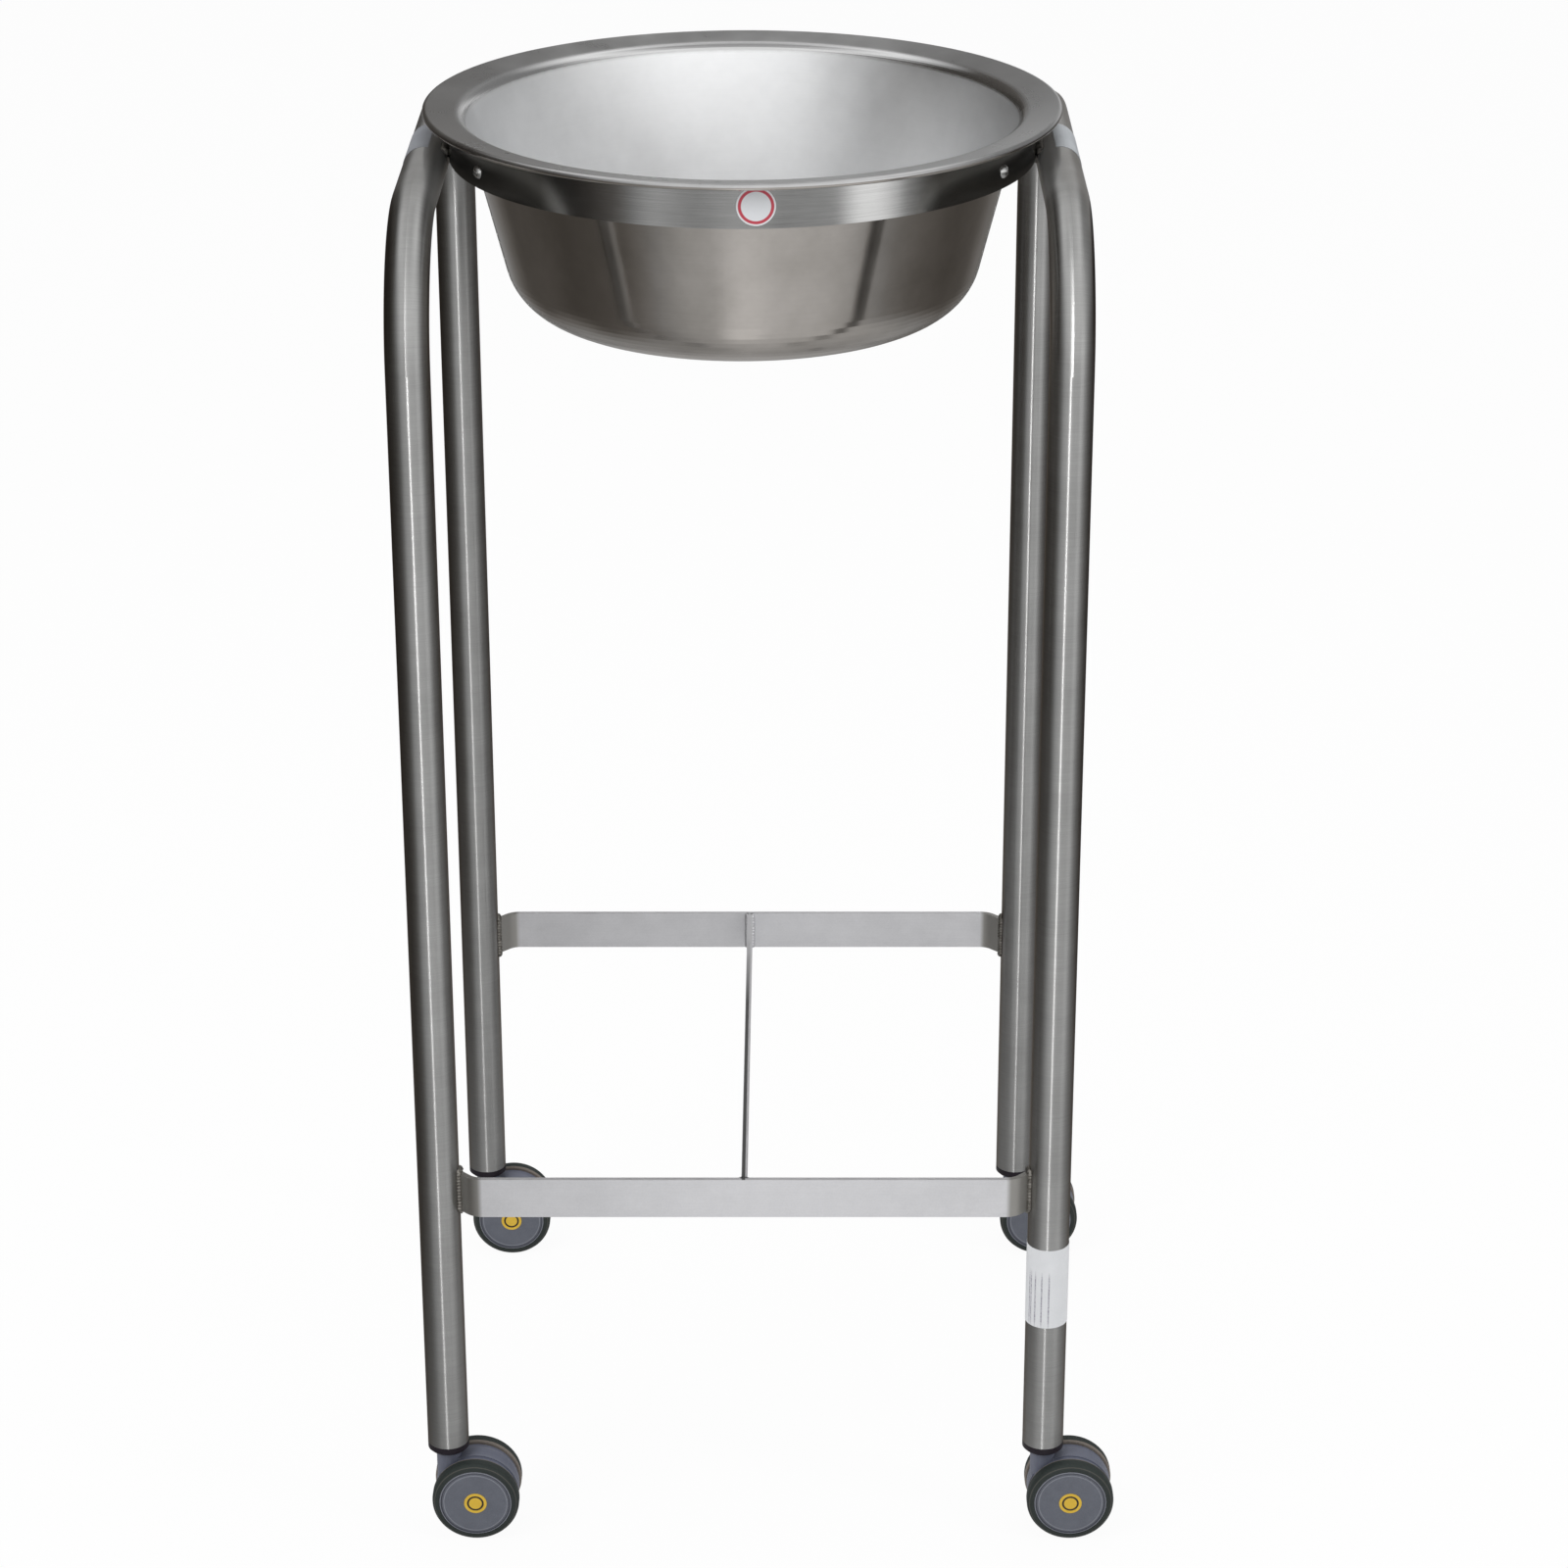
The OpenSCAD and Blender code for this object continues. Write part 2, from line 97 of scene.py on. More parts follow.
def seen_directly(tree):
    """1 for the camera's rays and for those in metal and glass."""
    path = add(tree, "LightPath").outputs
    mirrored = calc(tree, "MAXIMUM", path["Is Glossy Ray"], path["Is Transmission Ray"])
    return calc(tree, "MAXIMUM", path["Is Camera Ray"], mirrored)


def new_tree(owner):
    """The emptied node tree of a material or a world."""
    owner.use_nodes = True
    owner.node_tree.nodes.clear()
    return owner.node_tree


def mesh_object(name, corners, faces, material):
    """A new object with this mesh, in the scene."""
    mesh = bpy.data.meshes.new(name)
    mesh.from_pydata(corners, [], faces)
    mesh.materials.append(material)
    made = bpy.data.objects.new(name, mesh)
    bpy.context.scene.collection.objects.link(made)
    return made


floor_material = bpy.data.materials.new("floor")
tree = new_tree(floor_material)
lit = add(tree, "BsdfDiffuse", {"Color": floor_colour})
white = add(tree, "Emission", {"Color": pure_white})
share = calc(tree, "MULTIPLY", seen_directly(tree), floor_white)
both = add(tree, "MixShader", {0: share, 1: lit.outputs[0], 2: white.outputs[0]})
add(tree, "OutputMaterial", {"Surface": both.outputs[0]})
corners = [(x * floor_half, y * floor_half, 0) for x, y in ((-1, -1), (1, -1), (1, 1), (-1, 1))]
mesh_object("floor", corners, [(0, 1, 2, 3)], floor_material)


# The lights: an even world, a large soft box on the left, a smaller one on the right, a soft box
# overhead, and two narrow strip lamps beside the camera. The strips light the tubes alone, throw
# no shadow, and are the only lamps that show as lines in the steel.
world_level = 0.62
lamps = {
    "left_soft_box": dict(place=(-1.9, -1.6, 2.3), size=(1.3, 1.3), watts=34, aim=(0, 0, 0.6)),
    "right_soft_box": dict(place=(2.1, -1.2, 1.7), size=(0.5, 1.4), watts=16, aim=(0, 0, 0.5)),
    "tall_strip": dict(place=(-0.17, -2.8, 1.2), size=(0.035, 1.9), watts=11, aim=(0, 0, 0.5)),
    "low_strip": dict(place=(-0.17, -2.8, 0.2), size=(0.035, 0.4), watts=3, aim=(0, 0, 0.3)),
    "top_soft_box": dict(place=(0.1, 0.3, 2.8), size=(1.0, 1.0), watts=14, aim=(0, 0, 0.8)),
}

world = bpy.data.worlds.new("studio")
bpy.context.scene.world = world
tree = new_tree(world)
even = add(tree, "Background", {"Color": pure_white, "Strength": world_level})
white = add(tree, "Background", {"Color": pure_white, "Strength": 1.0})
both = add(tree, "MixShader", {0: seen_directly(tree), 1: even.outputs[0], 2: white.outputs[0]})
add(tree, "OutputWorld", {"Surface": both.outputs[0]})

tubes = bpy.data.collections.new("lit_by_strips")
for name in ("left_hoop_tube", "right_hoop_tube"):
    tubes.objects.link(nodes[name])
for name, lamp in lamps.items():
    is_strip = name.endswith("_strip")
    light = bpy.data.lights.new(name, "AREA")
    light.shape = "RECTANGLE"
    light.size, light.size_y = lamp["size"]
    light.energy = lamp["watts"]
    light.use_shadow = not is_strip
    holder = bpy.data.objects.new(name, light)
    bpy.context.scene.collection.objects.link(holder)
    holder.visible_glossy = is_strip
    if is_strip:
        holder.light_linking.receiver_collection = tubes
    aim = Vector(lamp["aim"]) - Vector(lamp["place"])
    turned = aim.to_track_quat("-Z", "Y").to_matrix().to_4x4()
    holder.matrix_world = Matrix.Translation(lamp["place"]) @ turned


# What the steel mirrors: the studio's floor and walls, as one round tent of cloths. The floor is
# pale towards the front, grey behind the stand and dark at both sides. Only reflections show it.
# Each tone has its angle in degrees, measured from the front and rising to the right.
near_floor_tones = (
    (-180, 0.5), (-90, 0.35), (-40, 0.4), (0, 0.58), (74, 0.5), (120, 0.4), (180, 0.5),
)
inner_floor_tones = (
    (-180, 0.6), (-120, 0.3), (-90, 0.12), (-60, 0.16), (-45, 0.27), (-29, 0.5), (-15, 0.5),
    (-6, 1.0), (5, 1.05), (14, 0.7), (20, 0.7), (45, 0.75), (70, 0.6), (113, 0.42), (150, 0.5),
    (180, 0.6),
)
outer_floor_tones = (
    (-180, 0.35), (-168, 0.4), (-150, 0.25), (-130, 0.1), (-110, 0.11), (-90, 0.09), (-70, 0.11),
    (-55, 0.14), (-45, 0.25), (-35, 0.4), (-25, 0.52), (-12, 0.58), (0, 0.7), (20, 0.7), (35, 0.64),
    (45, 0.58), (60, 0.42), (75, 0.24), (90, 0.16), (115, 0.1), (135, 0.12), (150, 0.2),
    (168, 0.18), (180, 0.35),
)
foot_tones = (
    (-180, 0.45), (-160, 0.25), (-145, 0.06), (-125, 0.015), (-62, 0.015), (-46, 0.12),
    (-33, 0.62), (-17, 0.34), (0, 0.55), (17, 0.31), (36, 0.4), (44, 1.5), (54, 1.5), (64, 0.5),
    (80, 0.08), (96, 0.03), (125, 0.015), (145, 0.06), (160, 0.2), (180, 0.45),
)
shelf_tones = (
    (-180, 2.8), (-175, 2.8), (-171, 0.3), (-130, 0.05), (-60, 0.1), (-30, 0.8), (0, 1.0),
    (40, 1.2), (70, 0.6), (100, 0.1), (130, 0.05), (171, 0.3), (175, 2.8), (180, 2.8),
)
horizon_tones = (
    (-180, 0.35), (-168, 0.06), (-120, 0.04), (-85, 0.04), (-65, 0.15), (-42, 0.6), (-25, 1.6),
    (0, 2.3), (30, 2.3), (55, 1.7), (85, 0.9), (105, 0.5), (130, 0.35), (150, 0.8), (168, 0.8),
    (180, 0.35),
)
upper_tones = (
    (-180, 0.27), (-165, 0.12), (-100, 0.06), (-60, 0.3), (-30, 1.1), (30, 1.2), (60, 0.9),
    (100, 0.3), (150, 0.3), (170, 0.4), (180, 0.27),
)
ceiling_tones = ((-180, 1.5), (180, 1.5))
top_tones = ((-180, 0.5), (180, 0.5))
# radius and height of each level of the tent, and its tones
tent_levels = (
    (0.02, 0.002, near_floor_tones),
    (0.3, 0.002, near_floor_tones),
    (0.6, 0.002, inner_floor_tones),
    (1.1, 0.002, outer_floor_tones),
    (2.1, 0.002, outer_floor_tones),
    (2.8, 0.002, foot_tones),
    (3.0, 0.002, foot_tones),
    (3.0, 0.6, foot_tones),
    (3.0, 0.66, shelf_tones),
    (3.0, 0.8, shelf_tones),
    (3.0, 0.97, horizon_tones),
    (3.0, 1.3, horizon_tones),
    (3.0, 1.7, upper_tones),
    (3.0, 3.1, upper_tones),
    (2.2, 4.1, ceiling_tones),
    (0.9, 4.4, top_tones),
    (0.01, 4.5, top_tones),
)
tent_step = 4
# cloths darker than dim_tone look warmer
dim_colour = (1.0, 0.88, 0.76, 1.0)
dim_tone = 0.3


def between(stops, at):
    """The value at one place, out of stops with their places in rising order."""
    for (start, low), (end, high) in zip(stops, stops[1:]):
        if at <= end:
            return low + (high - low) * (at - start) / (end - start)
    return stops[-1][1]


def level(radius, height, tones):
    """The points of one level of the tent, each with its tone."""
    row = []
    for degrees in range(-180, 181, tent_step):
        angle = math.radians(degrees)
        place = (radius * math.sin(angle), -radius * math.cos(angle), height)
        row.append((place, between(tones, degrees)))
    return row


def ramp(tree, value, start, end):
    """A mask that rises from 0 to 1 while a value goes from start to end."""
    limits = {"Value": value, "From Min": start, "From Max": end}
    return add(tree, "MapRange", limits).outputs[0]


def tinted(tree, mask, low, high):
    """A mask from 0 to 1, put between two colours."""
    return add(tree, "Mix", {0: mask, 6: low, 7: high}, data_type="RGBA").outputs[2]


cloth_material = bpy.data.materials.new("cloth")
tree = new_tree(cloth_material)
tone = add(tree, "Attribute", attribute_name="tone").outputs["Fac"]
colour = tinted(tree, ramp(tree, tone, 0.0, dim_tone), dim_colour, pure_white)
glow = add(tree, "Emission", {"Color": colour, "Strength": tone})
add(tree, "OutputMaterial", {"Surface": glow.outputs[0]})

rows = [level(*one_level) for one_level in tent_levels]
width = len(rows[0])
corners = [place for row in rows for place, _ in row]
faces = [
    (i * width + j, i * width + j + 1, (i + 1) * width + j + 1, (i + 1) * width + j)
    for i in range(len(rows) - 1) for j in range(width - 1)
]
tent = mesh_object("tent", corners, faces, cloth_material)
tones = tent.data.attributes.new("tone", "FLOAT", "POINT")
tones.data.foreach_set("value", [tone for row in rows for _, tone in row])
tent.visible_camera = False
tent.visible_diffuse = False
tent.visible_transmission = False
tent.visible_shadow = False


# Two hoops, each one length of 1 inch stainless tube bent twice, so that it makes a front and a
# rear leg. The tube is ground on a belt while it spins, so the fine scratches run round it and a
# lamp shows as a thin bright line down its whole length.
bend_r = 0.076
tube_low, tube_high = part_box("left_hoop_tube")
tube_r = (tube_high.x - tube_low.x) / 2
leg_x = -(tube_high.x + tube_low.x) / 2
leg_y = tube_high.y - tube_r
run_half = leg_y - bend_r
bend_z = tube_high.z - tube_r - bend_r
tube_dark = (0.32, 0.32, 0.315, 1.0)
tube_light = (0.42, 0.42, 0.415, 1.0)
tube_edge = (0.40, 0.34, 0.28, 1.0)
tube_roughness = (0.31, 0.36)
# scratches in a metre, how often they break off, how fine the wear is, and the scratches' share
tube_scratches = 4200
tube_breaks = 60.0
tube_fineness = 34.0
tube_scratch_share = 0.6
scratch_contrast = (0.3, 0.7)
patch_contrast = (0.35, 0.65)


def group(name, inputs):
    """A new node group that gives one mask: its tree, its inputs and the socket for the mask."""
    made = bpy.data.node_groups.new(name, "ShaderNodeTree")
    for socket, kind in inputs.items():
        made.interface.new_socket(socket, in_out="INPUT", socket_type="NodeSocket" + kind)
    made.interface.new_socket("Mask", in_out="OUTPUT", socket_type="NodeSocketFloat")
    given = made.nodes.new("NodeGroupInput").outputs
    return made, given, made.nodes.new("NodeGroupOutput").inputs["Mask"]


def placed(tree, made, **inputs):
    """The mask of a group, placed in a tree."""
    return add(tree, "Group", inputs, node_tree=made).outputs["Mask"]


def split(tree, vector):
    """The X, Y and Z of a vector."""
    return add(tree, "SeparateXYZ", {0: vector}).outputs


def spread(tree, mask, low, high):
    """A mask from 0 to 1, put between two values."""
    return add(tree, "MapRange", {"Value": mask, "To Min": low, "To Max": high}).outputs[0]


def blended(tree, first, second, share):
    """Two masks in one, with this share of the first."""
    rest = calc(tree, "MULTIPLY", second, 1 - share)
    return calc(tree, "MULTIPLY_ADD", first, share, rest)


# fine scratches: Across counts them, and Breaks is how often they break off in a metre
scratches, given, mask = group("scratches", {"Across": "Float", "Place": "Vector", "Breaks": "Float"})
slow = add(scratches, "VectorMath", {0: given["Place"], "Scale": given["Breaks"]}, operation="SCALE")
streaks = {"Vector": slow.outputs[0], "W": given["Across"], "Scale": 1.0, "Detail": 2.0}
noise = add(scratches, "TexNoise", streaks, noise_dimensions="4D")
scratches.links.new(ramp(scratches, noise.outputs[0], *scratch_contrast), mask)

# broad, uneven patches from handling, heat and cleaning: Fineness is how many there are in a metre
patches, given, mask = group("patches", {"Place": "Vector", "Fineness": "Float"})
cloud = {"Vector": given["Place"], "Scale": given["Fineness"], "Detail": 4.0, "Roughness": 0.6}
noise = add(patches, "TexNoise", cloud)
patches.links.new(ramp(patches, noise.outputs[0], *patch_contrast), mask)


def metal(name, **constants):
    """A new steel: its material, tree and shader, and where on the object it is shaded."""
    made = bpy.data.materials.new(name)
    tree = new_tree(made)
    shader = add(tree, "BsdfPrincipled", {"Metallic": 1.0, **constants})
    add(tree, "OutputMaterial", {"Surface": shader.outputs[0]})
    return made, tree, shader, add(tree, "TexCoord").outputs["Object"]


def paint(tree, shader, colour, roughness=None):
    """Gives a shader a colour, and a roughness if there is one, that change over the surface."""
    tree.links.new(colour, shader.inputs["Base Color"])
    if roughness is not None:
        tree.links.new(roughness, shader.inputs["Roughness"])


def dress(material, *endings):
    """Gives a material to each CAD node whose name ends in one of these."""
    for name in nodes:
        if name.endswith(endings):
            nodes[name].material_slots[0].material = material


tube_steel, tree, shader, place = metal("tube_steel", **{"Anisotropic": 1.0, "Specular Tint": tube_edge})
at = split(tree, place)
# how far each point lies along the bent tube, from its foot to the middle of the top run
depth = calc(tree, "ABSOLUTE", at["Y"])
past_run = calc(tree, "MAXIMUM", calc(tree, "SUBTRACT", depth, run_half), 0.0)
past_leg = calc(tree, "MAXIMUM", calc(tree, "SUBTRACT", at["Z"], bend_z), 0.0)
turned = calc(tree, "MULTIPLY", calc(tree, "ARCTAN2", past_leg, past_run), bend_r)
up_leg = calc(tree, "MINIMUM", at["Z"], bend_z)
on_run = calc(tree, "SUBTRACT", run_half, calc(tree, "MINIMUM", depth, run_half))
along = calc(tree, "ADD", calc(tree, "ADD", up_leg, turned), on_run)
counted = calc(tree, "MULTIPLY", along, tube_scratches)
marks = placed(tree, scratches, Across=counted, Place=place, Breaks=tube_breaks)
wear = placed(tree, patches, Place=place, Fineness=tube_fineness)
mixed = blended(tree, marks, wear, tube_scratch_share)
paint(tree, shader, tinted(tree, mixed, tube_dark, tube_light), spread(tree, mixed, *tube_roughness))
# the direction in which the tube runs there
side = calc(tree, "SIGN", at["Y"])
lean = calc(tree, "MULTIPLY", calc(tree, "MULTIPLY", side, past_leg), -1.0)
length_wise = add(tree, "CombineXYZ", {"Y": lean, "Z": past_run})
tree.links.new(length_wise.outputs[0], shader.inputs["Tangent"])
dress(tube_steel, "_hoop_tube")


# The ring, flat bar rolled on edge and welded between the hoops. Its face has been polished
# lengthwise, so the scratches run round it. Both its sides are painted darker, as painted shade
# for the dark surroundings that they mirror.
ring_dark = (0.39, 0.39, 0.385, 1.0)
ring_light = (0.53, 0.53, 0.525, 1.0)
ring_painted_shade = (0.14, 0.135, 0.125, 1.0)
# how far from the middle the painted shade starts, and where it is full
ring_shade_start, ring_shade_full = 0.088, 0.112
ring_roughness = (0.16, 0.20)
ring_scratches = 3600
ring_breaks = 25.0
ring_fineness = 26.0
ring_scratch_share = 0.7
quarter_turn = 0.25


def lie_round(tree, shader):
    """Turns a shader's scratches so that they run round the upright axis."""
    around = add(tree, "Tangent", direction_type="RADIAL", axis="Z")
    tree.links.new(around.outputs[0], shader.inputs["Tangent"])


ring_steel, tree, shader, place = metal(
    "ring_steel", **{"Anisotropic": 0.4, "Anisotropic Rotation": quarter_turn}
)
at = split(tree, place)
counted = calc(tree, "MULTIPLY", at["Z"], ring_scratches)
marks = placed(tree, scratches, Across=counted, Place=place, Breaks=ring_breaks)
wear = placed(tree, patches, Place=place, Fineness=ring_fineness)
mixed = blended(tree, marks, wear, ring_scratch_share)
# painted shade: the ring is drawn darker towards both sides, where it mirrors dark surroundings
darker_part = ramp(tree, calc(tree, "ABSOLUTE", at["X"]), ring_shade_start, ring_shade_full)
steel = tinted(tree, mixed, ring_dark, ring_light)
paint(tree, shader, tinted(tree, darker_part, steel, ring_painted_shade), spread(tree, mixed, *ring_roughness))
lie_round(tree, shader)
dress(ring_steel, "basin_ring")


# Four solid stainless rivets through the ring, two at the front and two at the rear. Their domed
# heads are bright from the header's die.
rivet_dark = (0.36, 0.36, 0.36, 1.0)
rivet_light = (0.50, 0.50, 0.49, 1.0)
rivet_roughness = (0.22, 0.30)
rivet_fineness = 700.0

rivet_steel, tree, shader, place = metal("rivet_steel")
grain = placed(tree, patches, Place=place, Fineness=rivet_fineness)
paint(tree, shader, tinted(tree, grain, rivet_dark, rivet_light), spread(tree, grain, *rivet_roughness))
dress(rivet_steel, "ring_rivets")


# The brace, three flat bars in an H. They are satin stainless straight from the mill, duller than
# the tube, with faint lines lengthwise. Their colour, paler than the tube's, is partly painted light
# from the lamp beside the camera. The bent ends are darker, and a line of painted shade darkens the
# cross bar's top edge.
brace_low, brace_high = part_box("front_brace_bar")
bar_t = 0.0032
# how far from a leg's side a bar starts to bend, and how long its straight half is
bar_end_run = 0.0143
bar_half = leg_x - tube_r - bar_end_run
bar_tint_full = bar_half + 0.003
# the bars' pale colour is partly painted light from the lamp beside the camera
bar_dark = (0.74, 0.74, 0.76, 1.0)
bar_light = (0.85, 0.85, 0.87, 1.0)
bar_tint = (0.39, 0.38, 0.36, 1.0)
bar_roughness = (0.38, 0.50)
bar_scratches = 2600
bar_breaks = 40.0
bar_fineness = 60.0
bar_grain_fineness = 900.0
bar_scratch_share = 0.25
bar_grain_share = 0.4
# painted shade on the cross bar's top edge: a dark line along it, which fades towards the rear
edge_shade_colour = (0.13, 0.13, 0.13, 1.0)
edge_shade_x, edge_shade_width = -0.0003, 0.0020
edge_shade_start, edge_shade_full = 0.15, 0.05
level_normal = 0.7
stripe_fade = (0.6, 0.4)

# a thin line on a surface, drawn where Place is within half of Width of Middle
stripe, given, mask = group("stripe", {"Place": "Float", "Middle": "Float", "Width": "Float"})
away = calc(stripe, "ABSOLUTE", calc(stripe, "SUBTRACT", given["Place"], given["Middle"]))
widths = calc(stripe, "DIVIDE", away, given["Width"])
stripe.links.new(ramp(stripe, widths, *stripe_fade), mask)

bar_steel, tree, shader, place = metal("bar_steel")
at = split(tree, place)
counted = calc(tree, "MULTIPLY", at["Z"], bar_scratches)
marks = placed(tree, scratches, Across=counted, Place=place, Breaks=bar_breaks)
wear = placed(tree, patches, Place=place, Fineness=bar_fineness)
grain = placed(tree, patches, Place=place, Fineness=bar_grain_fineness)
mixed = blended(tree, marks, blended(tree, grain, wear, bar_grain_share), bar_scratch_share)
# the bent ends of the bars are darker
darker_part = ramp(tree, calc(tree, "ABSOLUTE", at["X"]), bar_half, bar_tint_full)
steel = tinted(tree, darker_part, tinted(tree, mixed, bar_dark, bar_light), bar_tint)
facing = split(tree, add(tree, "NewGeometry").outputs["Normal"])
level_part = calc(tree, "GREATER_THAN", calc(tree, "ABSOLUTE", facing["Z"]), level_normal)
crossing = ramp(tree, at["Y"], edge_shade_start, edge_shade_full)
middle_line = placed(tree, stripe, Place=at["X"], Middle=edge_shade_x, Width=edge_shade_width)
# painted shade: the cross bar's top edge is drawn as a dark line, fading towards the rear
edge_shade = calc(tree, "MULTIPLY", calc(tree, "MULTIPLY", level_part, crossing), middle_line)
paint(tree, shader, tinted(tree, edge_shade, steel, edge_shade_colour), spread(tree, mixed, *bar_roughness))
dress(bar_steel, "_brace_bar")


# The weld beads at the ends of the brace bars. Each runs all round the bar's end in overlapping
# ripples, and has turned grey and straw-coloured from the heat. The cross bar's have been brushed.
brace_bead_r = 0.0022
cross_bead_r = 0.0019
# how far the beads pass a bar's edges, and how far from the middle of the stand they are brushed
brace_bead_past = 0.0008
brushed_half = 3 * bar_t
# how far the bars lie from the legs' axes, and how their ends are bent
bar_offset = 0.011
bar_bend_a = math.radians(45)
bar_bend_r = 0.012
bead_dark = (0.09, 0.082, 0.07, 1.0)
bead_light = (0.34, 0.325, 0.30, 1.0)
bead_roughness = (0.38, 0.56)
bead_fineness = 260.0
bead_grain_fineness = 1500.0
bead_grain_share = 0.4
ripple = 0.0021
ripple_step = ripple / 4
ripple_share = 0.13
uneven_share = 0.07
bead_end_share = 0.5
bead_sides = 10
# a direction in which no bead runs
off_beads = Vector((0.31, 0.17, 0.93))
chance = random.Random(7)


def bead_mesh(path, radius, corners, faces):
    """Adds one rippled bead along a path to the corners and faces."""
    legs = [(b - a).length for a, b in zip(path, path[1:])]
    count = max(2, round(sum(legs) / ripple_step))
    rings = []
    for i in range(count + 1):
        run = sum(legs) * i / count
        leg = 0
        while leg < len(legs) - 1 and run > legs[leg]:
            run -= legs[leg]
            leg += 1
        swell = 1 + ripple_share * math.cos(math.tau * i * ripple_step / ripple)
        swell *= 1 + chance.uniform(-uneven_share, uneven_share)
        if i in (0, count):
            swell *= bead_end_share
        rings.append((path[leg].lerp(path[leg + 1], run / legs[leg]), radius * swell))
    first = len(corners)
    for i, (here, size) in enumerate(rings):
        ahead = rings[min(i + 1, count)][0] - rings[max(i - 1, 0)][0]
        across = ahead.cross(off_beads).normalized()
        upward = across.cross(ahead).normalized()
        for k in range(bead_sides):
            turn = math.tau * k / bead_sides
            corners.append(here + size * (math.cos(turn) * across + math.sin(turn) * upward))
    for i in range(count):
        for k in range(bead_sides):
            a = first + i * bead_sides + k
            b = first + i * bead_sides + (k + 1) % bead_sides
            faces.append((a, b, b + bead_sides, a + bead_sides))
    last = first + count * bead_sides
    faces.append(tuple(range(first + bead_sides - 1, first - 1, -1)))
    faces.append(tuple(range(last, last + bead_sides)))


def bead_object(name, corners, faces, material, node):
    """Smooth weld beads as one object, in the place of a CAD node of the frame."""
    beads = mesh_object(name, corners, faces, material)
    beads.data.shade_smooth()
    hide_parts(node)
    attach(beads, "frame")


weld_steel, tree, shader, place = metal("weld_steel")
wear = placed(tree, patches, Place=place, Fineness=bead_fineness)
grain = placed(tree, patches, Place=place, Fineness=bead_grain_fineness)
mixed = blended(tree, grain, wear, bead_grain_share)
brushed = calc(tree, "LESS_THAN", calc(tree, "ABSOLUTE", split(tree, place)["X"]), brushed_half)
steel = tinted(tree, mixed, bead_dark, bead_light)
paint(tree, shader, tinted(tree, brushed, steel, bar_dark), spread(tree, mixed, *bead_roughness))

# The slanted end of a bar, seen from above: where it starts from the leg's axis, its length until
# it comes abreast of that axis, and how far its middle misses it.
slant_x = tube_r + bar_end_run - bar_bend_r * math.sin(bar_bend_a)
slant_y = bar_bend_r * (1 - math.cos(bar_bend_a)) - bar_offset
slant_l = slant_x * math.cos(bar_bend_a) - slant_y * math.sin(bar_bend_a)
slant_miss = slant_x * math.sin(bar_bend_a) + slant_y * math.cos(bar_bend_a)
loop_low = brace_low.z - brace_bead_past
loop_high = brace_high.z + brace_bead_past
corners, faces = [], []
for across in (-1, 1):
    for deep in (-1, 1):
        feet = []
        for face in (bar_t / 2, -bar_t / 2):
            back = slant_l - math.sqrt(tube_r ** 2 - (slant_miss - face) ** 2)
            x = leg_x - slant_x + back * math.cos(bar_bend_a) + face * math.sin(bar_bend_a)
            y = slant_y + back * math.sin(bar_bend_a) - face * math.cos(bar_bend_a) - leg_y
            feet.append((across * x, -deep * y))
        near, far = feet
        loop = [
            Vector((*near, loop_low)), Vector((*near, loop_high)), Vector((*far, loop_high)),
            Vector((*far, loop_low)), Vector((*near, loop_low)),
        ]
        bead_mesh(loop, brace_bead_r, corners, faces)
        foot = Vector((across * bar_t / 2, deep * (leg_y + bar_offset - bar_t / 2), brace_low.z))
        top = foot + Vector((0, 0, brace_high.z - brace_low.z))
        bead_mesh([foot, top], cross_bead_r, corners, faces)
bead_object("brace_weld_beads", corners, faces, weld_steel, "brace_welds")


# The weld beads along the lines where the ring touches the top runs, above and below. They were
# left as welded. Their dark grey is partly the heat's tint and partly painted shade, for the
# shadowed joint between the ring and the runs.
ring_low, ring_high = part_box("basin_ring")
ring_r = ring_high.x
upper_bead_r, lower_bead_r = 0.0028, 0.0021
# how far the beads' middles lie from the ring's lower edge, as shares of their radius
upper_out_share, upper_up_share = 0.5, 1.45
lower_in_share, lower_down_share = 0.35, 0.5
ring_bead_half = 0.019
scorch_and_shade_dark = (0.07, 0.065, 0.06, 1.0)
scorch_and_shade_light = (0.24, 0.23, 0.21, 1.0)
scorch_roughness = (0.5, 0.65)
scorch_fineness = 300.0

corners, faces = [], []
for across in (-1, 1):
    for x, z, radius in (
        (upper_bead_r * upper_out_share, upper_bead_r * upper_up_share, upper_bead_r),
        (-lower_bead_r * lower_in_share, -lower_bead_r * lower_down_share, lower_bead_r),
    ):
        ends = [Vector((across * (ring_r + x), end * ring_bead_half, ring_low.z + z)) for end in (-1, 1)]
        bead_mesh(ends, radius, corners, faces)
dark_weld, tree, shader, place = metal("dark_weld")
wear = placed(tree, patches, Place=place, Fineness=scorch_fineness)
# partly painted shade: the ring's beads are coloured dark where the ring meets the runs
paint(tree, shader, tinted(tree, wear, scorch_and_shade_dark, scorch_and_shade_light), spread(tree, wear, *scorch_roughness))
bead_object("ring_weld_beads", corners, faces, dark_weld, "ring_welds")


# The basin, spun from one stainless sheet. It is bright outside, satin on the rim and burnished on
# the roll of the mouth. Inside it has been glass-beaded and is dull, and its pale colour there is
# partly painted light, for the light that falls into it from above.
mouth_r = 0.1625
blend_r = 0.1665
mouth_band = 0.0042
# the outside is bright above wall_z, and dullest below bottom_z
bottom_z = 0.745
wall_z = 0.78
facing_blend = 0.05
outside_dark = (0.44, 0.415, 0.385, 1.0)
outside_light = (0.54, 0.51, 0.48, 1.0)
rim_dark = (0.40, 0.40, 0.40, 1.0)
rim_light = (0.49, 0.49, 0.49, 1.0)
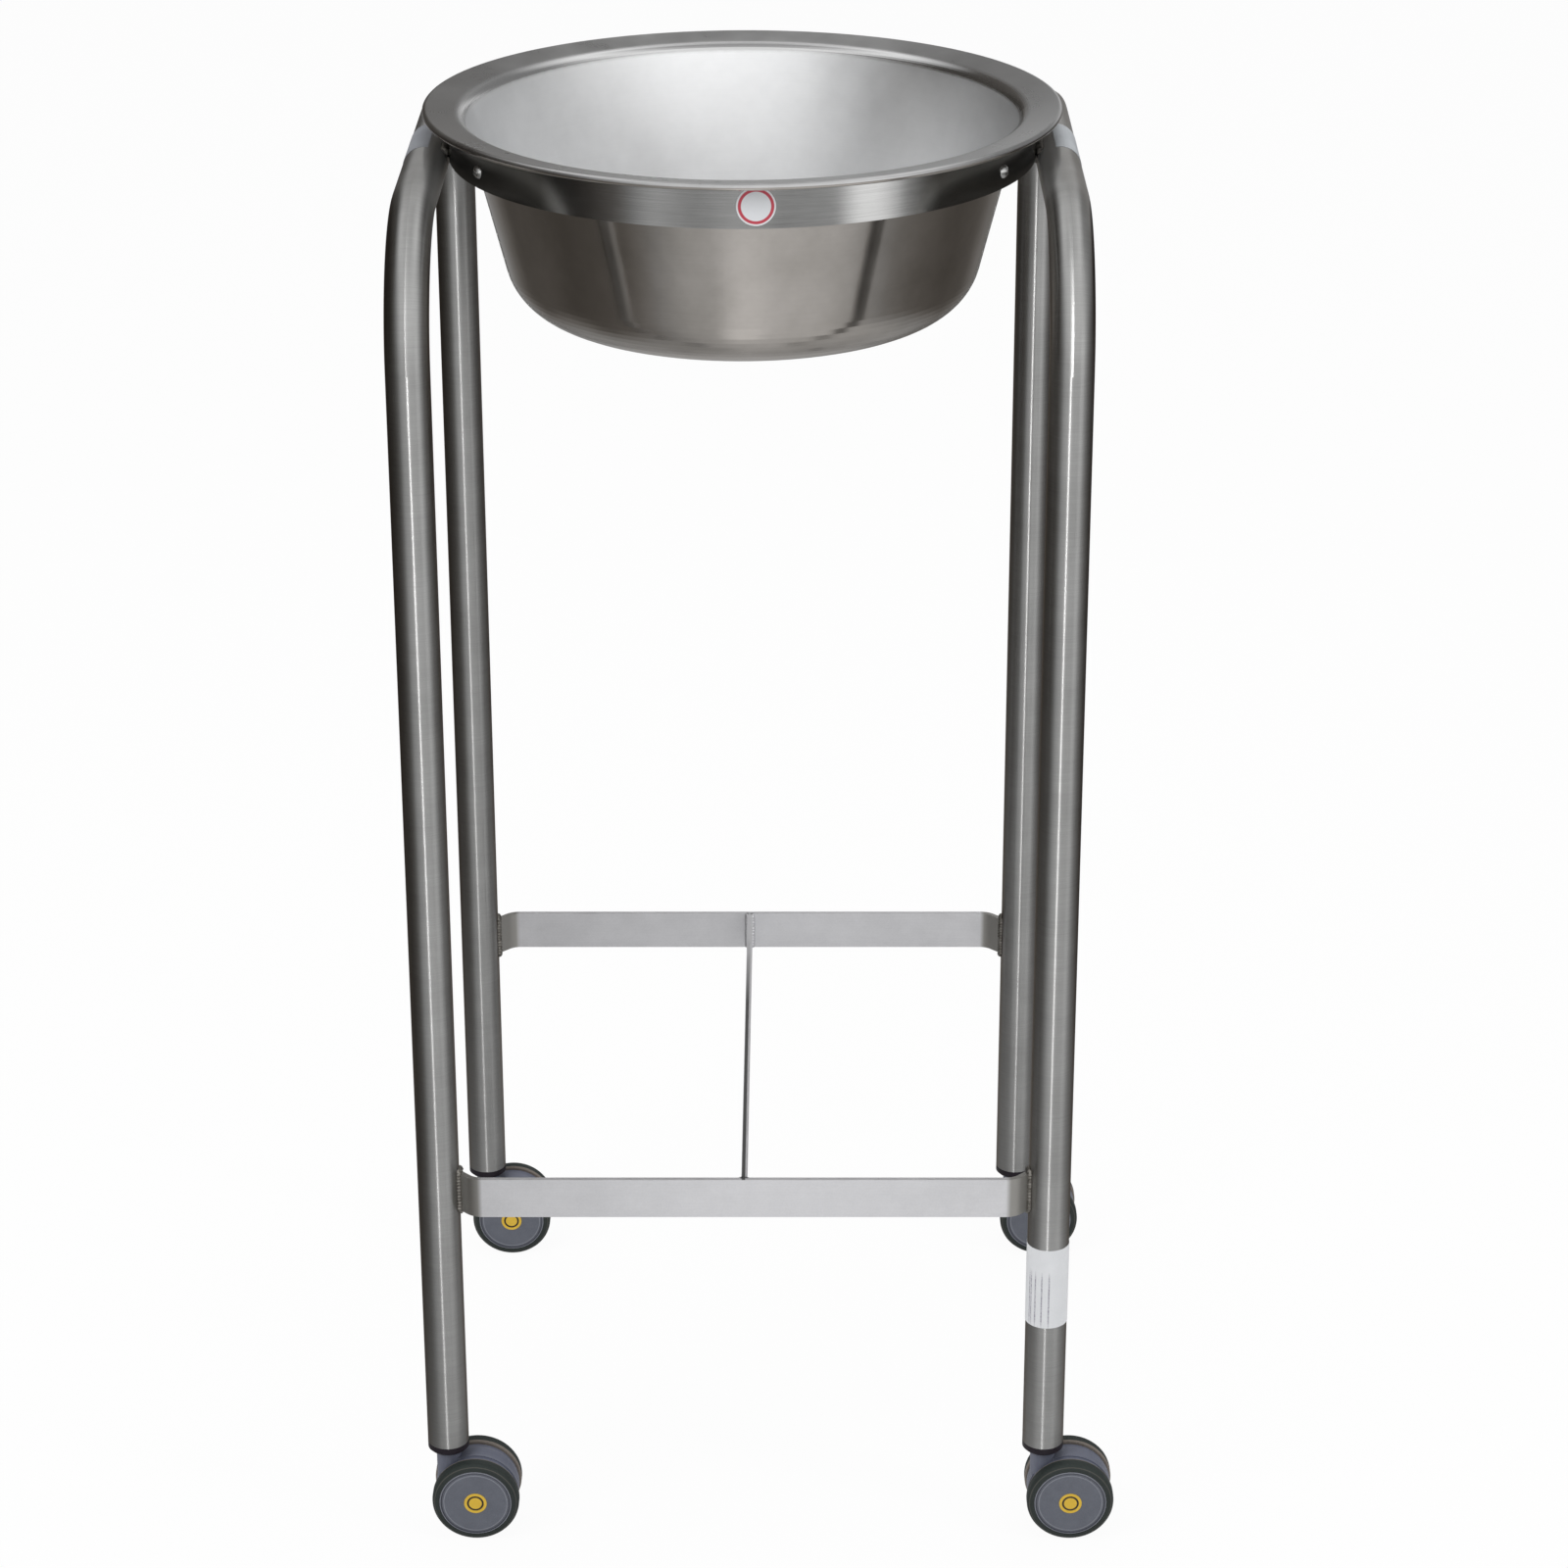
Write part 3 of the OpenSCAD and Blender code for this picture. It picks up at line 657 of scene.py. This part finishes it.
# the inside's pale colour is partly painted light from above
inside_dark = (0.74, 0.745, 0.75, 1.0)
inside_light = (0.84, 0.845, 0.85, 1.0)
mouth_colour = (0.52, 0.52, 0.52, 1.0)
outside_roughness = (0.10, 0.14)
bottom_dulling = 0.1
rim_roughness = (0.26, 0.34)
inside_roughness = (0.34, 0.42)
mouth_roughness = 0.20
basin_scratches = 2400
basin_breaks = 20.0
basin_fineness = 22.0
basin_scratch_share = 0.15


def from_axis(tree, x, y):
    """How far a point lies from an axis, out of its two distances."""
    return calc(tree, "SQRT", calc(tree, "MULTIPLY_ADD", x, x, calc(tree, "MULTIPLY", y, y)))


def mixed_values(tree, mask, low, high):
    """A mask from 0 to 1, put between two values that may change over the surface."""
    return add(tree, "Mix", {0: mask, 2: low, 3: high}, data_type="FLOAT").outputs[0]


basin_steel, tree, shader, place = metal(
    "basin_steel", **{"Anisotropic": 0.6, "Anisotropic Rotation": quarter_turn}
)
at = split(tree, place)
facing = split(tree, add(tree, "NewGeometry").outputs["Normal"])
out = from_axis(tree, at["X"], at["Y"])
counted = calc(tree, "MULTIPLY", calc(tree, "ADD", at["Z"], out), basin_scratches)
marks = placed(tree, scratches, Across=counted, Place=place, Breaks=basin_breaks)
wear = placed(tree, patches, Place=place, Fineness=basin_fineness)
mixed = blended(tree, marks, wear, basin_scratch_share)
# the parts: what faces up, the rim within that, and the roll between the rim and the inside
upper = ramp(tree, facing["Z"], -facing_blend, facing_blend)
on_rim = ramp(tree, out, mouth_r, blend_r)
mouth = placed(tree, stripe, Place=out, Middle=(mouth_r + blend_r) / 2, Width=mouth_band)
under = tinted(tree, mixed, outside_dark, outside_light)
rim = tinted(tree, mixed, rim_dark, rim_light)
inside = tinted(tree, mixed, inside_dark, inside_light)
over = tinted(tree, mouth, tinted(tree, on_rim, inside, rim), mouth_colour)
bottom_dull = spread(tree, ramp(tree, at["Z"], wall_z, bottom_z), 0.0, bottom_dulling)
bright = calc(tree, "ADD", spread(tree, mixed, *outside_roughness), bottom_dull)
satin = spread(tree, mixed, *rim_roughness)
dull = spread(tree, mixed, *inside_roughness)
over_rough = mixed_values(tree, mouth, mixed_values(tree, on_rim, dull, satin), mouth_roughness)
paint(tree, shader, tinted(tree, upper, under, over), mixed_values(tree, upper, bright, over_rough))
lie_round(tree, shader)
dress(basin_steel, "basin")


# Plugs in the ends of the legs, moulded in black plastic and pressed in up to a tapered collar.
# Each holds the stem of a caster.
plug_dark = (0.009, 0.006, 0.010, 1.0)
plug_light = (0.016, 0.011, 0.017, 1.0)
plug_roughness = (0.42, 0.54)
plug_fineness = 1200.0
plug_gloss = 0.25
grain_share = 0.5
grain_to_wear = 12
dent_depth = 0.00003
dent_strength = 0.5


def plastic(name, dark, light, roughness, fineness, **constants):
    """A plastic, rubber or paper: its material, tree, shader, place and the socket of its colour."""
    made = bpy.data.materials.new(name)
    tree = new_tree(made)
    place = add(tree, "TexCoord").outputs["Object"]
    grain = placed(tree, patches, Place=place, Fineness=fineness)
    wear = placed(tree, patches, Place=place, Fineness=fineness / grain_to_wear)
    mixed = blended(tree, grain, wear, grain_share)
    shader = add(tree, "BsdfPrincipled", constants)
    colour = tinted(tree, mixed, dark, light)
    paint(tree, shader, colour, spread(tree, mixed, *roughness))
    dents = add(tree, "Bump", {"Height": grain, "Distance": dent_depth, "Strength": dent_strength})
    tree.links.new(dents.outputs[0], shader.inputs["Normal"])
    add(tree, "OutputMaterial", {"Surface": shader.outputs[0]})
    return made, tree, shader, place, colour


black_plastic = plastic(
    "black_plastic", plug_dark, plug_light, plug_roughness, plug_fineness,
    **{"Specular IOR Level": plug_gloss}
)[0]
dress(black_plastic, "_leg_socket")


# Stems, axles and grip rings of plated steel. The stems are turned, and the others are drawn. The
# grip rings hold the stems in the plugs.
pin_dark = (0.45, 0.45, 0.46, 1.0)
pin_light = (0.58, 0.58, 0.58, 1.0)
pin_roughness = (0.26, 0.36)
pin_fineness = 600.0

pin_steel, tree, shader, place = metal("pin_steel")
grain = placed(tree, patches, Place=place, Fineness=pin_fineness)
paint(tree, shader, tinted(tree, grain, pin_dark, pin_light), spread(tree, grain, *pin_roughness))
dress(pin_steel, "_stem", "_axle", "stem_grip_rings")


# Caster bodies, moulded in slate-coloured nylon, each with a neck for the stem and a hood between
# its two wheels. The mould leaves fine lines round the hood.
trail = 0.017
wheel_r = 0.027
body_dark = (0.086, 0.096, 0.140, 1.0)
body_light = (0.110, 0.122, 0.174, 1.0)
body_line = (0.23, 0.235, 0.26, 1.0)
body_roughness = (0.42, 0.55)
nylon_fineness = 1400.0
mould_lines = 900.0
mould_breaks = 8.0
mould_share = 0.35


def from_middle_plane(tree, place):
    """How far a point of a caster lies from the plane between its two wheels."""
    off = calc(tree, "SUBTRACT", calc(tree, "ABSOLUTE", split(tree, place)["Y"]), leg_y)
    return calc(tree, "ABSOLUTE", off)


def from_axle(tree, place):
    """How far a point of a caster lies from its axle."""
    at = split(tree, place)
    from_trail = calc(tree, "ABSOLUTE", calc(tree, "SUBTRACT", at["X"], trail))
    x = calc(tree, "SUBTRACT", from_trail, leg_x)
    return from_axis(tree, x, calc(tree, "SUBTRACT", at["Z"], wheel_r))


body_nylon, tree, shader, place, colour = plastic(
    "body_nylon", body_dark, body_light, body_roughness, nylon_fineness
)
counted = calc(tree, "MULTIPLY", from_middle_plane(tree, place), mould_lines)
lines = placed(tree, scratches, Across=counted, Place=place, Breaks=mould_breaks)
paint(tree, shader, tinted(tree, spread(tree, lines, 0.0, mould_share), colour, body_line))
dress(body_nylon, "_caster_body")


# Wheel centres, closed discs moulded in the same kind of nylon, each with a groove near its edge.
# A dark line of painted shade is drawn in the groove, and a pale line of painted highlight on each
# side of it.
tyre_seat_r = 0.0226
hub_dark = (0.100, 0.108, 0.134, 1.0)
hub_light = (0.126, 0.136, 0.165, 1.0)
groove_shade_colour = (0.04, 0.043, 0.06, 1.0)
groove_highlight_colour = (0.27, 0.28, 0.32, 1.0)
hub_roughness = (0.38, 0.50)
groove_r, groove_width = tyre_seat_r - 0.0013, 0.0009
inner_line_r, inner_line_width = tyre_seat_r - 0.0029, 0.0007
outer_line_r, outer_line_width = tyre_seat_r - 0.0004, 0.0008
groove_share = 0.75
hub_line_share = 0.6

hub_nylon, tree, shader, place, colour = plastic(
    "hub_nylon", hub_dark, hub_light, hub_roughness, nylon_fineness
)
out = from_axle(tree, place)
# painted shade in the groove, and painted highlights along its two edges
groove_shade = placed(tree, stripe, Place=out, Middle=groove_r, Width=groove_width)
inner_highlight = placed(tree, stripe, Place=out, Middle=inner_line_r, Width=inner_line_width)
outer_highlight = placed(tree, stripe, Place=out, Middle=outer_line_r, Width=outer_line_width)
groove_shaded = tinted(tree, spread(tree, groove_shade, 0.0, groove_share), colour, groove_shade_colour)
pale = spread(tree, calc(tree, "MAXIMUM", inner_highlight, outer_highlight), 0.0, hub_line_share)
paint(tree, shader, tinted(tree, pale, groove_shaded, groove_highlight_colour))
dress(hub_nylon, "_hub")


# Tyres, rubber treads moulded round the wheel centres. They show a paler edge against the hood,
# and a faint painted highlight where the tread meets the side.
tyre_inner = 0.010
rubber_dark = (0.020, 0.026, 0.024, 1.0)
rubber_light = (0.029, 0.036, 0.034, 1.0)
rubber_line = (0.19, 0.165, 0.145, 1.0)
rubber_roughness = (0.55, 0.70)
rubber_fineness = 1000.0
rubber_gloss = 0.3
edge_place, edge_width = tyre_inner + 0.0004, 0.0018
side_line_r, side_line_width = wheel_r - 0.0016, 0.0005
side_line_share = 0.25

tread_rubber, tree, shader, place, colour = plastic(
    "tread_rubber", rubber_dark, rubber_light, rubber_roughness, rubber_fineness,
    **{"Specular IOR Level": rubber_gloss}
)
off = from_middle_plane(tree, place)
out = from_axle(tree, place)
edge = placed(tree, stripe, Place=off, Middle=edge_place, Width=edge_width)
# a faint painted highlight on the shoulder, where the tread meets the side
side_highlight = placed(tree, stripe, Place=out, Middle=side_line_r, Width=side_line_width)
pale = calc(tree, "MAXIMUM", edge, calc(tree, "MULTIPLY", side_highlight, side_line_share))
paint(tree, shader, tinted(tree, pale, colour, rubber_line))
dress(tread_rubber, "_tyre")


# Round stickers of yellow film, each with a dark ring printed inside its edge. They are stuck to
# the closed faces of the wheels.
wheel_sticker_r = 0.007
yellow_dark = (0.66, 0.42, 0.03, 1.0)
yellow_light = (0.72, 0.47, 0.04, 1.0)
yellow_print = (0.02, 0.016, 0.01, 1.0)
yellow_roughness = (0.35, 0.45)
yellow_fineness = 1500.0
printed_ring_share = 0.66
printed_ring_width = 0.0012

yellow_film, tree, shader, place, colour = plastic(
    "yellow_film", yellow_dark, yellow_light, yellow_roughness, yellow_fineness
)
printed_ring_r = wheel_sticker_r * printed_ring_share
out = from_axle(tree, place)
ring = placed(tree, stripe, Place=out, Middle=printed_ring_r, Width=printed_ring_width)
paint(tree, shader, tinted(tree, ring, colour, yellow_print))
dress(yellow_film, "_front_sticker", "_rear_sticker")


# Paper labels folded over the top runs, a little glossy and worn grey by hands. The left one is
# painted darker still, as painted shade, for it lies on the shadowed side.
hoop_papers = {
    # the left label's tones are darker as painted shade
    "left_hoop_label": ((0.215, 0.225, 0.25, 1.0), (0.29, 0.305, 0.33, 1.0)),
    "right_hoop_label": ((0.35, 0.375, 0.40, 1.0), (0.46, 0.485, 0.51, 1.0)),
}
hoop_paper_roughness = (0.36, 0.50)
hoop_paper_fineness = 900.0

for name, (darker_tone, paler_tone) in hoop_papers.items():
    paper = plastic(name + "_paper", darker_tone, paler_tone, hoop_paper_roughness, hoop_paper_fineness)[0]
    dress(paper, name)


# A paper label wrapped round the front right leg and stuck down. It is a blank form, and its
# ruled columns are worn.
form_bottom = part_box("leg_label")[0].z
form_dark = (0.68, 0.695, 0.715, 1.0)
form_light = (0.73, 0.74, 0.76, 1.0)
form_ink = (0.20, 0.18, 0.24, 1.0)
form_roughness = (0.5, 0.6)
form_fineness = 1500.0
# the columns' places round the leg from its front, and the part of the label that they cover
column_places = (-0.0128, -0.0114, -0.0082, -0.0040, 0.0004)
column_width = 0.0009
column_middle, column_height = form_bottom + 0.019, 0.034
ink_fineness = 1300.0
ink_shares = (0.25, 0.95)

form_paper, tree, shader, place, colour = plastic(
    "form_paper", form_dark, form_light, form_roughness, form_fineness
)
at = split(tree, place)
x = calc(tree, "SUBTRACT", at["X"], leg_x)
to_front = calc(tree, "MULTIPLY", calc(tree, "ADD", at["Y"], leg_y), -1.0)
around = calc(tree, "MULTIPLY", calc(tree, "ARCTAN2", x, to_front), tube_r)
lower = placed(tree, stripe, Place=at["Z"], Middle=column_middle, Width=column_height)
columns = 0.0
for middle in column_places:
    column = placed(tree, stripe, Place=around, Middle=middle, Width=column_width)
    columns = calc(tree, "MAXIMUM", columns, column)
ink_left = spread(tree, placed(tree, patches, Place=place, Fineness=ink_fineness), *ink_shares)
printed = calc(tree, "MULTIPLY", calc(tree, "MULTIPLY", columns, lower), ink_left)
paint(tree, shader, tinted(tree, printed, colour, form_ink))
dress(form_paper, "leg_label")


# The round sticker on the front of the ring, white film with a plain red border. It is stuck to
# the polished face.
sticker_low, sticker_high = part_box("ring_sticker")
sticker_r = (sticker_high.z - sticker_low.z) / 2
sticker_x = (sticker_low.x + sticker_high.x) / 2
sticker_z = (sticker_low.z + sticker_high.z) / 2
film_dark = (0.70, 0.715, 0.74, 1.0)
film_light = (0.74, 0.755, 0.78, 1.0)
border_red = (0.50, 0.048, 0.075, 1.0)
film_roughness = (0.32, 0.42)
film_fineness = 1500.0
border_r, border_width = sticker_r - 0.0018, 0.0017

sticker_film, tree, shader, place, colour = plastic(
    "sticker_film", film_dark, film_light, film_roughness, film_fineness
)
at = split(tree, place)
x = calc(tree, "SUBTRACT", at["X"], sticker_x)
z = calc(tree, "SUBTRACT", at["Z"], sticker_z)
border = placed(tree, stripe, Place=from_axis(tree, x, z), Middle=border_r, Width=border_width)
paint(tree, shader, tinted(tree, border, colour, border_red))
dress(sticker_film, "ring_sticker")
